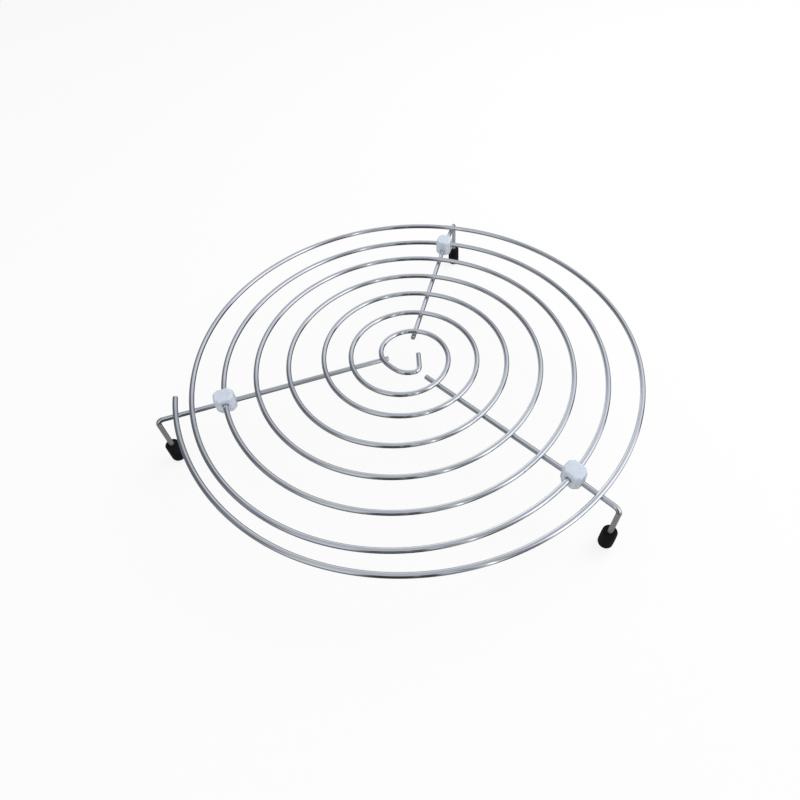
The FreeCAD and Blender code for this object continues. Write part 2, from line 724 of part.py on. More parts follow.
# ------------------------------------------------------------- the foot caps
def make_cap(side):
    """Push-on cap, turned about its own upright axis, base at local z = 0."""
    name = "foot_cap_" + side
    body = new_body(name)
    bore_radius = LEG_RADIUS + " + dims.cap_bore_clearance"
    bore_floor = "dims.cap_height - dims.cap_bore_depth"
    profile = sketch(body, name + "_profile", "XZ_Plane")
    outline(profile, [
        ("0", "0"),
        ("dims.cap_radius", "0"),
        ("dims.cap_radius", "dims.cap_height"),
        (bore_radius, "dims.cap_height"),
        (bore_radius, bore_floor),
        ("0", bore_floor),
    ])
    feature = revolve(body, "Revolution", name + "_turned", profile, axis="V_Axis")
    outer_width = 2 * dim("cap_radius") - 0.1
    for rim, level in (("base", 0.0), ("mouth", dim("cap_height"))):
        feature = dress(
            body, "Fillet", f"{name}_{rim}", feature,
            lambda edge: at_level(edge, level) and edge.BoundBox.XLength > outer_width,
            f"cap_{rim}_radius")
    return body


# ------------------------------------------------- one set per leg direction
def make_support(side):
    """Rod, coupling, leg and cap, put in their places under the grid."""
    azimuth = dim(side + "_azimuth")
    offset = dim(side + "_offset")
    skew = dim(side + "_leg_skew")
    angle, along = crossing(azimuth, offset, dim(side + "_carrier_angle"))
    pole = Vector(dim("pole_offset_x"), dim("pole_offset_y"), SWIVEL_HEIGHT)
    rod_rotation = Rotation(Vector(0, 0, 1), azimuth)
    leg_rotation = Rotation(Vector(0, 0, 1), azimuth + skew)
    origin = pole + rod_rotation.multVec(Vector(along, offset, 0))
    home = Placement(origin, leg_rotation)

    rod = make_rod(side, along - dim(side + "_rod_start") - dim("rod_head_inner"))
    rod.Placement = Placement(origin, rod_rotation).multiply(
        Placement(Vector(-dim("rod_head_inner"), 0, 0), Rotation()))

    centre, radius = coil_curvature(angle)
    upper = make_upper(side, home.inverse().multVec(centre + pole), radius, -skew)
    upper.Placement = home
    lower = make_lower(side, -skew)
    lower.Placement = home

    reach = dim(side + "_foot_reach") - along
    leg = make_leg(side, reach)
    leg.Placement = home
    cap = make_cap(side)
    foot = home.multVec(Vector(reach, 0, 0))
    cap.Placement = Placement(Vector(foot.x, foot.y, 0), leg_rotation)
    return [rod, upper, lower, leg, cap]


bodies = [make_grid()]
for side in SUPPORTS:
    bodies += make_support(side)
doc.recompute()

# -------------------------------------------------------------------- export
for obj in doc.Objects:
    if any(state in ("Invalid", "Error") for state in obj.State):
        raise RuntimeError(f"{obj.Label} is {obj.State}")

os.makedirs("parts", exist_ok=True)
for body in bodies:
    shape = body.Shape
    if shape.isNull() or not shape.isValid() or len(shape.Solids) != 1:
        raise RuntimeError(body.Label + " has a bad shape")
    shape.exportStep(f"parts/{body.Label}.step")
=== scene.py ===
import json
import math

import bmesh
import bpy
import numpy as np
from mathutils import Matrix, Vector


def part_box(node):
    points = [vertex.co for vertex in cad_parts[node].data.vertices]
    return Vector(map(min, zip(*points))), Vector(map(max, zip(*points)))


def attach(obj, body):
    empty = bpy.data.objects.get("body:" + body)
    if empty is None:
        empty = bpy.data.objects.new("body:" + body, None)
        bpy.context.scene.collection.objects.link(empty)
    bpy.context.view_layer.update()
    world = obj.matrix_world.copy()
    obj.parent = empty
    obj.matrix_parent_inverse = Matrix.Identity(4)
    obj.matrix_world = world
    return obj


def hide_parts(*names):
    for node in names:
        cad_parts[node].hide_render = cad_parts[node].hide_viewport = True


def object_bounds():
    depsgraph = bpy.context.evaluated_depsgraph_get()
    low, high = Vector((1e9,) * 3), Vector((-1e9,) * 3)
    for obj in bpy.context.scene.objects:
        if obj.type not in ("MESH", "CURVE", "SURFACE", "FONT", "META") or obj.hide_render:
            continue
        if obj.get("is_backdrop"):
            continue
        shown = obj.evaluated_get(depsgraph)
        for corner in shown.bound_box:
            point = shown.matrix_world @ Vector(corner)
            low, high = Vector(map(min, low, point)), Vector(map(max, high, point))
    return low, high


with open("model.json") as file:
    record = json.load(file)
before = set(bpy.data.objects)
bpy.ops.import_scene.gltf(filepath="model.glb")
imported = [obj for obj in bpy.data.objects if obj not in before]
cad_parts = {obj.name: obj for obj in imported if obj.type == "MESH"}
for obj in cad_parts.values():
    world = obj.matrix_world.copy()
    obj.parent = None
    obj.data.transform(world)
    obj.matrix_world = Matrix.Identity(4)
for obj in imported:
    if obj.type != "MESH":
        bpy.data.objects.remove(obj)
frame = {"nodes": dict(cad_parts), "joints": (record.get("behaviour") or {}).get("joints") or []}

# Round wire cooling rack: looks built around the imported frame. Metres.
MM = 0.001
cad_lo, cad_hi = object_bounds()
NODES = frame["nodes"]
JOINTS = {j["name"]: j for j in frame["joints"]}
SIDES = ("left", "right", "back")


# ------------------------------------------------------------ reading the wire
def mesh_arrays(obj):
    me = obj.data
    co = np.zeros(len(me.vertices) * 3)
    me.vertices.foreach_get("co", co)
    co = co.reshape(-1, 3)
    n = np.zeros(len(me.loops) * 3)
    me.corner_normals.foreach_get("vector", n)
    n = n.reshape(-1, 3)
    li = np.zeros(len(me.loops), int)
    me.loops.foreach_get("vertex_index", li)
    return co, co[li], n


def centre_line(obj, radius, limit):
    """Points and tangents of the line that a round wire's wall surrounds, in
    order. Each ring of wall corners points back at one centre."""
    co, at, n = mesh_arrays(obj)
    c = at - n * radius
    key = np.round(c / (0.25 * MM)).astype(np.int64)
    seen = {}
    for i, k in enumerate(map(tuple, key)):
        seen.setdefault(k, []).append(i)
    # neighbouring cells are one ring when a centre falls on a cell border
    parent = {k: k for k in seen}

    def root(k):
        while parent[k] != k:
            k = parent[k]
        return k

    for k in seen:
        for dx in (-1, 0, 1):
            for dy in (-1, 0, 1):
                for dz in (-1, 0, 1):
                    q = (k[0] + dx, k[1] + dy, k[2] + dz)
                    if q in seen:
                        a, b = root(k), root(q)
                        if a != b:
                            parent[b] = a
    groups = {}
    for k, members in seen.items():
        groups.setdefault(root(k), []).extend(members)
    pts, tans = [], []
    for members in groups.values():
        m = c[members].mean(0)
        near = [i for i in members if np.linalg.norm(c[i] - m) < 0.12 * MM]
        if len(near) < 24:
            continue
        m = c[near].mean(0)
        w, v = np.linalg.eigh(n[near].T @ n[near])
        if w[0] > 0.02 * w[2] or w[1] < 0.3 * w[2]:
            continue
        pts.append(m)
        tans.append(v[:, 0])
    pts, tans = np.array(pts), np.array(tans)
    free = np.ones(len(pts), bool)

    def walk(i, d):
        out = []
        while True:
            free[i] = False
            v = pts - pts[i]
            r = np.linalg.norm(v, axis=1)
            ok = free & (r < limit) & (r > 1e-7)
            ok &= (v @ d) > 0.8 * r
            if not ok.any():
                return out
            j = int(np.where(ok, r, 1e9).argmin())
            t = tans[j] if tans[j] @ (pts[j] - pts[i]) > 0 else -tans[j]
            out.append((pts[j], t))
            i, d = j, t

    start = 0
    ahead = walk(start, tans[start])
    behind = walk(start, -tans[start])
    chain = [(p, -t) for p, t in reversed(behind)] + [(pts[start], tans[start])] + ahead
    return np.array([p for p, t in chain]), np.array([t for p, t in chain])


def densify(p, t, step, arc_share=0.09):
    """Evenly fine points along the line, following each ring's own tangent."""
    out = [p[0]]
    for a, b, ta, tb in zip(p[:-1], p[1:], t[:-1], t[1:]):
        chord = np.linalg.norm(b - a)
        phi = math.acos(max(-1.0, min(1.0, float(ta @ tb))))
        k = 1.0 if phi < 1e-4 else 2 * math.tan(phi / 4) / math.sin(phi / 2)
        m = chord * k
        rho = chord / phi if phi > 1e-4 else 1e9
        count = max(1, int(math.ceil(chord / min(step, max(arc_share * rho, 0.2 * MM)))))
        for i in range(1, count + 1):
            s = i / count
            h = (2 * s ** 3 - 3 * s ** 2 + 1) * a + (s ** 3 - 2 * s ** 2 + s) * m * ta \
                + (-2 * s ** 3 + 3 * s ** 2) * b + (s ** 3 - s ** 2) * m * tb
            out.append(h)
    return np.array(out)


def link(me, name):
    o = bpy.data.objects.new(name, me)
    bpy.context.scene.collection.objects.link(o)
    return o


def smooth(obj):
    obj.data.polygons.foreach_set("use_smooth", [True] * len(obj.data.polygons))
    obj.data.update()


def tube(name, line, radius, sides, brk, tips):
    """Round wire along a line, both ends cut square with a broken edge. tips
    are the positions of the two end faces, measured beyond the line's ends."""
    t = np.gradient(line, axis=0)
    t /= np.linalg.norm(t, axis=1)[:, None]
    rings, along = [], []
    dist = np.concatenate([[0], np.cumsum(np.linalg.norm(np.diff(line, axis=0), axis=1))])
    up = np.array([0.0, 0.0, 1.0])
    u = np.cross(t, up)
    u /= np.linalg.norm(u, axis=1)[:, None]
    a = np.arange(sides) * 2 * math.pi / sides

    def ring(centre, side, high, r):
        return centre + r * (np.outer(np.cos(a), side) + np.outer(np.sin(a), high))

    # end face, the rounded break, then the wall
    first, last = line[0] - t[0] * tips[0], line[-1] + t[-1] * tips[1]
    prof = [(0.0, radius - brk), (brk * 0.3, radius - brk * 0.29), (brk * 0.65, radius - brk * 0.08), (brk, radius)]
    for d, r in prof:
        rings.append(ring(first + t[0] * d, u[0], up, r))
        along.append(dist[0] - tips[0] + d)
    for i in range(1, len(line) - 1):
        high = np.cross(u[i], t[i])
        rings.append(ring(line[i], u[i], high, radius))
        along.append(dist[i])
    for d, r in reversed(prof):
        rings.append(ring(last - t[-1] * d, u[-1], up, r))
        along.append(dist[-1] + tips[1] - d)
    verts = np.concatenate(rings + [first[None] - 0.04 * MM * t[0], last[None] + 0.04 * MM * t[-1]])
    n = len(rings)
    faces = []
    for i in range(n - 1):
        for j in range(sides):
            k = (j + 1) % sides
            faces.append((i * sides + j, i * sides + k, (i + 1) * sides + k, (i + 1) * sides + j))
    c0, c1 = n * sides, n * sides + 1
    for j in range(sides):
        k = (j + 1) % sides
        faces.append((c0, k, j))
        faces.append((c1, (n - 1) * sides + j, (n - 1) * sides + k))
    me = bpy.data.meshes.new(name)
    me.from_pydata(verts.tolist(), [], faces)
    att = me.attributes.new("along", "FLOAT", "POINT")
    att.data.foreach_set("value", np.concatenate([np.repeat(along, sides), [along[0], along[-1]]]).astype(np.float32))
    cut = np.zeros(len(verts))
    cut[:sides] = cut[(n - 1) * sides:n * sides] = 1.0
    cut[-2:] = 1.0
    att = me.attributes.new("cut", "FLOAT", "POINT")
    att.data.foreach_set("value", cut.astype(np.float32))
    att = me.attributes.new("ring_x", "FLOAT", "POINT")
    att.data.foreach_set("value", np.concatenate([np.tile(np.cos(a), n), [0, 0]]).astype(np.float32))
    att = me.attributes.new("ring_y", "FLOAT", "POINT")
    att.data.foreach_set("value", np.concatenate([np.tile(np.sin(a), n), [0, 0]]).astype(np.float32))
    bm = bmesh.new()
    bm.from_mesh(me)
    bmesh.ops.recalc_face_normals(bm, faces=bm.faces)
    bm.to_mesh(me)
    bm.free()
    o = link(me, name)
    smooth(o)
    return o


# ------------------------------------------------------------------- materials
class Nodes:
    """Small helper over a node tree."""

    def __init__(self, tree):
        self.t = tree
        self.t.nodes.clear()

    def new(self, kind, **values):
        n = self.t.nodes.new(kind)
        for k, v in values.items():
            if hasattr(n, k):
                setattr(n, k, v)
            else:
                raise RuntimeError(kind + " has no " + k)
        return n

    def link(self, a, b):
        self.t.links.new(a, b)

    def put(self, socket, value):
        if isinstance(value, bpy.types.NodeSocket):
            self.link(value, socket)
        elif value is not None:
            socket.default_value = value

    def math(self, op, a, b=None, c=None, clamp=False):
        n = self.new("ShaderNodeMath", operation=op, use_clamp=clamp)
        self.put(n.inputs[0], a)
        self.put(n.inputs[1], b)
        self.put(n.inputs[2], c)
        return n.outputs[0]

    def ramp(self, value, lo, hi, to_lo=0.0, to_hi=1.0, kind="SMOOTHSTEP"):
        n = self.new("ShaderNodeMapRange", interpolation_type=kind)
        for i, v in enumerate((value, lo, hi, to_lo, to_hi)):
            self.put(n.inputs[i], v)
        return n.outputs[0]

    def noise(self, vector, scale, detail=3.0, rough=0.55, distort=0.0):
        n = self.new("ShaderNodeTexNoise")
        self.put(n.inputs["Vector"], vector)
        n.inputs["Scale"].default_value = scale
        n.inputs["Detail"].default_value = detail
        n.inputs["Roughness"].default_value = rough
        n.inputs["Distortion"].default_value = distort
        return n.outputs["Fac"]

    def mix(self, fac, a, b):
        n = self.new("ShaderNodeMix", data_type="RGBA", clamp_factor=True)
        self.put(n.inputs[0], fac)
        self.put(n.inputs[6], a)
        self.put(n.inputs[7], b)
        return n.outputs[2]

    def mixf(self, fac, a, b):
        n = self.new("ShaderNodeMix", data_type="FLOAT", clamp_factor=True)
        self.put(n.inputs[0], fac)
        self.put(n.inputs[2], a)
        self.put(n.inputs[3], b)
        return n.outputs[0]

    def combine(self, x, y, z):
        n = self.new("ShaderNodeCombineXYZ")
        for i, v in enumerate((x, y, z)):
            self.put(n.inputs[i], v)
        return n.outputs[0]

    def split(self, v):
        n = self.new("ShaderNodeSeparateXYZ")
        self.link(v, n.inputs[0])
        return n.outputs[0], n.outputs[1], n.outputs[2]

    def attribute(self, name):
        return self.new("ShaderNodeAttribute", attribute_name=name).outputs["Fac"]

    def bump(self, height, distance, strength=1.0, normal=None):
        n = self.new("ShaderNodeBump")
        n.inputs["Strength"].default_value = strength
        n.inputs["Distance"].default_value = distance
        self.link(height, n.inputs["Height"])
        if normal is not None:
            self.link(normal, n.inputs["Normal"])
        return n.outputs[0]


def material(name):
    m = bpy.data.materials.new(name)
    m.use_nodes = True
    n = Nodes(m.node_tree)
    out = n.new("ShaderNodeOutputMaterial")
    bsdf = n.new("ShaderNodeBsdfPrincipled")
    n.link(bsdf.outputs[0], out.inputs[0])
    return m, n, bsdf


def chrome(name, tint, axis=None, ringed=False, dull=0.0, matte=0.0):
    """Bright plated wire: drawing lines run along it, the plating ripples a
    little, tops and crossings are rubbed duller."""
    m, n, b = material(name)
    pos = n.new("ShaderNodeTexCoord").outputs["Object"]
    x, y, z = n.split(pos)
    if ringed:
        s = n.attribute("along")
        cx, cy = n.attribute("ring_x"), n.attribute("ring_y")
        lines = n.combine(n.math("MULTIPLY", s, 12.0), cx, cy)
    else:
        ax, ay = axis
        along = n.math("ADD", n.math("MULTIPLY", x, ax), n.math("MULTIPLY", y, ay))
        across = n.math("ADD", n.math("MULTIPLY", x, -ay), n.math("MULTIPLY", y, ax))
        level = n.combine(n.math("MULTIPLY", along, 12.0), n.math("MULTIPLY", across, 620.0), n.math("MULTIPLY", z, 620.0))
        upright = n.combine(n.math("MULTIPLY", along, 620.0), n.math("MULTIPLY", across, 620.0), n.math("MULTIPLY", z, 12.0))
        foot = n.ramp(z, 0.0365, 0.0385, 1.0, 0.0)
        mixv = n.new("ShaderNodeMix", data_type="VECTOR")
        n.put(mixv.inputs[0], foot)
        n.put(mixv.inputs[4], level)
        n.put(mixv.inputs[5], upright)
        lines = mixv.outputs[1]
    drawn = n.noise(lines, 9.0, 2.0, 0.6)
    fine = n.noise(lines, 26.0, 2.0, 0.7)
    peel = n.noise(pos, 420.0, 2.0, 0.5)
    patch = n.noise(pos, 42.0, 3.0, 0.6)
    spots = n.noise(pos, 1500.0, 3.0, 0.7)
    geo = n.new("ShaderNodeNewGeometry")
    nx, ny, nz = n.split(geo.outputs["Normal"])
    rubbed = n.math("MULTIPLY", n.ramp(nz, 0.72, 0.98), n.ramp(patch, 0.46, 0.66))
    scuff = n.math("MULTIPLY", rubbed, n.ramp(fine, 0.42, 0.62))
    pits = n.math("MULTIPLY", n.ramp(spots, 0.74, 0.80), 0.6)
    base = n.mix(n.ramp(patch, 0.30, 0.72), (tint[0] * 0.93, tint[1] * 0.94, tint[2] * 0.96, 1), (tint[0], tint[1], tint[2], 1))
    base = n.mix(pits, base, (0.30, 0.29, 0.28, 1))
    if ringed:
        cut = n.ramp(n.attribute("cut"), 0.55, 0.95)
        shear = n.noise(n.combine(n.math("MULTIPLY", x, 300.0), n.math("MULTIPLY", y, 300.0), n.math("MULTIPLY", z, 4200.0)), 1.0, 2.0, 0.6)
        bare = n.mix(n.ramp(shear, 0.35, 0.65), (0.34, 0.335, 0.33, 1), (0.52, 0.515, 0.51, 1))
        base = n.mix(cut, base, bare)
        heat = n.attribute("weld")
        base = n.mix(n.math("MULTIPLY", heat, 0.45), base, (0.60, 0.59, 0.585, 1))
    if matte:
        # the foot wire below the bend gets an even grey, duller coat, brushed a little; its grey level is set per leg
        # as painted light and shade
        low, high = matte * 0.94, matte * 1.05
        coat = n.mix(n.ramp(fine, 0.30, 0.70), (low, low * 0.995, low * 1.02, 1), (high, high * 0.995, high * 1.02, 1))
        base = n.mix(n.math("MULTIPLY", foot, 0.94), base, coat)
        n.link(n.mixf(foot, 1.0, 0.42), b.inputs["Metallic"])
    else:
        b.inputs["Metallic"].default_value = 1.0
    n.link(base, b.inputs["Base Color"])
    b.inputs["Specular Tint"].default_value = (0.34, 0.345, 0.38, 1)
    rough = n.mixf(n.ramp(drawn, 0.30, 0.70), 0.016 + dull, 0.048 + dull)
    rough = n.math("ADD", rough, n.math("MULTIPLY", scuff, 0.12))
    rough = n.math("ADD", rough, n.math("MULTIPLY", pits, 0.25), clamp=True)
    if ringed:
        rough = n.math("ADD", rough, n.math("MULTIPLY", cut, 0.30))
        rough = n.math("ADD", rough, n.math("MULTIPLY", heat, 0.10), clamp=True)
    if matte:
        rough = n.math("ADD", rough, n.math("MULTIPLY", foot, 0.36), clamp=True)
    n.link(rough, b.inputs["Roughness"])
    h = n.bump(drawn, 0.0025 * MM, 0.9)
    h = n.bump(fine, 0.0012 * MM, 0.8, h)
    h = n.bump(peel, 0.010 * MM, 0.35, h)
    n.link(h, b.inputs["Normal"])
    return m


def milky(name):
    """Milky moulded polymer: cloudy inside, faintly grained skin, a soft gloss
    that is duller where fingers and cloths have rubbed it. The lower part is
    painted darker as shade, and the upward-facing skin is painted lighter and
    bluer as light from above."""
    m, n, b = material(name)
    pos = n.new("ShaderNodeTexCoord").outputs["Object"]
    x, y, z = n.split(pos)
    cloud = n.noise(pos, 210.0, 4.0, 0.6, 0.4)
    skin = n.noise(pos, 2600.0, 2.0, 0.6)
    flow = n.noise(pos, 620.0, 3.0, 0.55, 1.2)
    geo = n.new("ShaderNodeNewGeometry")
    nx, ny, nz = n.split(geo.outputs["Normal"])
    # upper: the upward-facing skin; it carries the painted highlight in the colour and the rubbed dullness in the
    # gloss
    upper = n.ramp(nz, 0.15, 0.95)
    low = n.ramp(z, 0.0360, 0.0425, 1.0, 0.0)
    base = n.mix(n.ramp(cloud, 0.30, 0.72), (0.562, 0.624, 0.708, 1), (0.618, 0.674, 0.754, 1))
    # painted shade: the lower part is mixed darker, standing in for the shade under and beside the coupling
    base = n.mix(n.math("MULTIPLY", low, 0.60), base, (0.385, 0.425, 0.495, 1))
    # painted highlight: the upward-facing skin is mixed lighter and bluer, standing in for light from above
    base = n.mix(n.math("MULTIPLY", upper, 0.30), base, (0.660, 0.730, 0.830, 1))
    n.link(base, b.inputs["Base Color"])
    rough = n.mixf(n.ramp(cloud, 0.35, 0.70), 0.30, 0.42)
    rubbed = n.math("MULTIPLY", upper, n.ramp(flow, 0.45, 0.70))
    rough = n.math("ADD", rough, n.math("MULTIPLY", rubbed, 0.12), clamp=True)
    n.link(rough, b.inputs["Roughness"])
    b.inputs["Subsurface Weight"].default_value = 0.40
    b.inputs["Subsurface Radius"].default_value = (0.9, 1.0, 1.15)
    b.inputs["Subsurface Scale"].default_value = 2.2 * MM
    b.inputs["IOR"].default_value = 1.49
    h = n.bump(skin, 0.010 * MM, 0.5)
    h = n.bump(flow, 0.030 * MM, 0.35, h)
    n.link(h, b.inputs["Normal"])
    return m


def rubber(name):
    """Near-black moulded rubber, fine-grained, dusty and scuffed at its foot."""
    m, n, b = material(name)
    pos = n.new("ShaderNodeTexCoord").outputs["Object"]
    x, y, z = n.split(pos)
    grain = n.noise(pos, 3800.0, 3.0, 0.7)
    pores = n.noise(pos, 1250.0, 2.0, 0.6)
    dust = n.noise(pos, 360.0, 4.0, 0.65)
    geo = n.new("ShaderNodeNewGeometry")
    edge = n.ramp(geo.outputs["Pointiness"], 0.505, 0.60)
    foot = n.math("MULTIPLY", n.ramp(z, 0.0, 3.0 * MM, 1.0, 0.0), n.ramp(dust, 0.40, 0.66))
    base = n.mix(n.ramp(dust, 0.35, 0.70), (0.0048, 0.0047, 0.0062, 1), (0.0082, 0.0080, 0.0102, 1))
    base = n.mix(n.math("MULTIPLY", foot, 0.55), base, (0.030, 0.029, 0.028, 1))
    base = n.mix(n.math("MULTIPLY", edge, 0.12), base, (0.022, 0.022, 0.024, 1))
    n.link(base, b.inputs["Base Color"])
    rough = n.mixf(n.ramp(grain, 0.35, 0.70), 0.50, 0.66)
    rough = n.math("ADD", rough, n.math("MULTIPLY", foot, 0.18), clamp=True)
    n.link(rough, b.inputs["Roughness"])
    b.inputs["Specular IOR Level"].default_value = 0.12
    h = n.bump(grain, 0.020 * MM, 0.6)
    h = n.bump(pores, 0.035 * MM, 0.35, h)
    n.link(h, b.inputs["Normal"])
    return m


# ----------------------------------------------------------------- the spiral
TINT = (0.80, 0.815, 0.85)
lo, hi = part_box("spiral_grid")
r_wire = (hi.z - lo.z) / 2
line, tangents = centre_line(NODES["spiral_grid"], r_wire, 14 * MM)
line[:, 2] = (hi.z + lo.z) / 2
tangents[:, 2] = 0
tangents /= np.linalg.norm(tangents, axis=1)[:, None]
fine = densify(line, tangents, 1.6 * MM)
length = float(np.linalg.norm(np.diff(fine, axis=0), axis=1).sum())
print("spiral rings", len(line), "points", len(fine), "length", round(length, 4))
BRK = 0.25 * MM
grid = tube("grid_wire", fine, r_wire, 32, BRK, (BRK - 0.04 * MM, BRK - 0.04 * MM))
grid.data.materials.append(chrome("grid_chrome", TINT, ringed=True))
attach(grid, "rack")
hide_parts("spiral_grid")


# ------------------------------------------------------------ rods and welds
def axis_of(node):
    """Horizontal unit direction of a straight rod, and its middle."""
    co, at, n = mesh_arrays(NODES[node])
    c = co.mean(0)
    w, v = np.linalg.eigh((co - c).T @ (co - c))
    d = v[:, 2]
    d[2] = 0
    return d / np.linalg.norm(d), c


def set_material(node, m):
    o = NODES[node]
    o.data.materials.clear()
    o.data.materials.append(m)
    o.data.polygons.foreach_set("material_index", [0] * len(o.data.polygons))


def crossings(node, d, c):
    """Where a straight rod passes under the spiral, seen from above."""
    co = mesh_arrays(NODES[node])[0]
    reach = (co - c) @ d
    side = np.array([-d[1], d[0], 0.0])
    off = (fine - c) @ side
    along = (fine - c) @ d
    out = []
    for i in np.nonzero(off[:-1] * off[1:] < 0)[0]:
        s = off[i] / (off[i] - off[i + 1])
        v = along[i] * (1 - s) + along[i + 1] * s
        if reach.min() < v < reach.max():
            p = fine[i] * (1 - s) + fine[i + 1] * s
            t = fine[i + 1] - fine[i]
            out.append((p, t / np.linalg.norm(t)))
    return out


def weld(bm, place, run, under, r_up, r_low):
    """Small waisted nugget between two wires that cross at a touch: its top
    follows the upper wire's belly and its foot the lower wire's back."""
    z = np.array([0.0, 0.0, 1.0])
    u = np.cross(z, run)
    v = np.cross(z, under)
    rings = []
    sides = 28
    levels = [(1.00, 1.42, 0.10), (0.62, 1.16, 0.0), (0.30, 1.02, 0.0), (0.0, 0.98, 0.0), (-0.30, 1.02, 0.0), (-0.62, 1.16, 0.0), (-1.00, 1.42, 0.10)]
    for share, rad, sink in levels:
        ring = []
        for k in range(sides):
            a = 2 * math.pi * k / sides
            q = np.array([math.cos(a), math.sin(a), 0.0]) * rad * MM
            top = r_up - math.sqrt(max(r_up ** 2 - float(q @ u) ** 2, 0.0)) + 0.06 * MM
            low = -(r_low - math.sqrt(max(r_low ** 2 - float(q @ v) ** 2, 0.0))) - 0.06 * MM
            h = top * (share + 1) / 2 + low * (1 - share) / 2
            ring.append(bm.verts.new(Vector(place + q + z * h)))
        rings.append(ring)
    for a, b in zip(rings[:-1], rings[1:]):
        for k in range(sides):
            j = (k + 1) % sides
            bm.faces.new((a[k], b[k], b[j], a[j]))
    bm.faces.new(rings[0])
    bm.faces.new(list(reversed(rings[-1])))


welds = bmesh.new()
spots = []
for tag in SIDES:
    d, c = axis_of("rod_" + tag)
    rod_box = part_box("rod_" + tag)
    for p, t in crossings("rod_" + tag, d, c):
        spots.append(p)
        weld(welds, np.array([p[0], p[1], p[2] - r_wire]), t, d, r_wire, r_wire)
    # painted shade and light: each rod's chrome tint is scaled per side, darker on the left rod and brighter on the
    # right and back rods, standing in for the different reflections around each rod
    rod_painted_shade = {"left": 0.84, "right": 1.04, "back": 1.06}[tag]
    set_material("rod_" + tag, chrome("rod_chrome_" + tag, tuple(rod_painted_shade * v for v in TINT), axis=(float(d[0]), float(d[1]))))
    a = JOINTS[tag + "_leg_fold"]["axis"]
    # painted light and shade: the foot coat's grey level is set per leg, left darkest and back lightest, standing in
    # for how each foot is lit
    set_material("leg_" + tag, chrome("leg_chrome_" + tag, TINT, axis=(a[0], a[1]),
                                         matte={"left": 0.27, "right": 0.32, "back": 0.48}[tag]))
print("welds", len(spots))
bmesh.ops.recalc_face_normals(welds, faces=welds.faces)
me = bpy.data.meshes.new("weld_nuggets")
welds.to_mesh(me)
welds.free()
nuggets = link(me, "weld_nuggets")
smooth(nuggets)
bevel = nuggets.modifiers.new("soft", "SUBSURF")
bevel.levels = bevel.render_levels = 1
nuggets.data.materials.append(chrome("weld_chrome", (0.70, 0.705, 0.72), axis=(1.0, 0.0), dull=0.10))
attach(nuggets, "rack")

# how near each part of the grid wire is to a weld
gv = np.zeros(len(grid.data.vertices) * 3)
grid.data.vertices.foreach_get("co", gv)
gv = gv.reshape(-1, 3)
near = np.full(len(gv), 1e9)
for p in spots:
    near = np.minimum(near, np.linalg.norm(gv - (p - np.array([0, 0, r_wire])), axis=1))
heat = np.clip(1 - near / (3.4 * MM), 0, 1) ** 1.5
att = grid.data.attributes.new("weld", "FLOAT", "POINT")
att.data.foreach_set("value", heat.astype(np.float32))


# ------------------------------------------------------------------ foot caps
def foot_cap(tag, m):
    """Dipped rubber cap: dished base, rounded foot, faintly barrelled side,
    rolled mouth that hugs the wire, and a faint mould line up two sides."""
    lo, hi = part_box("foot_cap_" + tag)
    cx, cy = (lo.x + hi.x) / 2, (lo.y + hi.y) / 2
    R, H = (hi.x - lo.x) / 2 / MM, (hi.z - lo.z) / MM
    bore = 1.56
    prof = [(0.0, 0.30), (0.55, 0.26), (0.95, 0.12), (1.20, 0.02), (1.40, 0.0)]
    base = 3.05
    for i in range(1, 13):
        a = math.pi / 2 * i / 12
        prof.append((R - 0.04 - base + base * math.sin(a), base - base * math.cos(a)))
    for i in range(1, 12):
        s = i / 12
        prof.append((R - 0.04 + 0.05 * math.sin(math.pi * s) - 0.10 * s, base + (H - 1.4 - base) * s))
    top = R - 0.14
    for i in range(0, 9):
        a = math.pi / 2 * i / 8
        prof.append((top - 1.4 + 1.4 * math.cos(a), H - 1.4 + 1.4 * math.sin(a)))
    prof += [(2.45, H - 0.01), (2.12, H + 0.0), (1.86, H - 0.06), (1.68, H - 0.22), (bore + 0.02, H - 0.50), (bore, H - 0.9),
             (bore, H - 5.0), (bore, 6.0), (bore, 3.05), (bore - 0.2, 3.0), (0.0, 3.0)]
    sides = 72
    bm = bmesh.new()
    rings = []
    for r, z in prof:
        if r < 1e-6:
            rings.append([bm.verts.new((cx, cy, z * MM + lo.z))])
            continue
        ring = []
        for k in range(sides):
            a = 2 * math.pi * k / sides
            ridge = 0.0
            if r > bore + 0.5 and 1.0 < z < H - 0.6:
                for at in (0.35, 0.35 + math.pi):
                    w = math.atan2(math.sin(a - at), math.cos(a - at))
                    ridge += 0.035 * math.exp(-(w / 0.06) ** 2)
                ridge += 0.018 * math.sin(3 * a + 0.7 * z) * math.sin(0.45 * z + a)
            ring.append(bm.verts.new((cx + (r + ridge) * MM * math.cos(a), cy + (r + ridge) * MM * math.sin(a), z * MM + lo.z)))
        rings.append(ring)
    for p, q in zip(rings[:-1], rings[1:]):
        if len(p) == 1:
            for k in range(sides):
                bm.faces.new((p[0], q[(k + 1) % sides], q[k]))
        elif len(q) == 1:
            for k in range(sides):
                bm.faces.new((p[k], p[(k + 1) % sides], q[0]))
        else:
            for k in range(sides):
                j = (k + 1) % sides
                bm.faces.new((p[k], p[j], q[j], q[k]))
    bmesh.ops.recalc_face_normals(bm, faces=bm.faces)
    me = bpy.data.meshes.new("rubber_cap_" + tag)
    bm.to_mesh(me)
    bm.free()
    o = link(me, "rubber_cap_" + tag)
    smooth(o)
    o.data.materials.append(m)
    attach(o, tag + "_leg")
    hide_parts("foot_cap_" + tag)
    return o


plastic = milky("milky_plastic_detail")
for tag in SIDES:
    set_material("coupling_upper_" + tag, plastic)
    set_material("coupling_lower_" + tag, plastic)
    foot_cap(tag, rubber("black_rubber_" + tag))


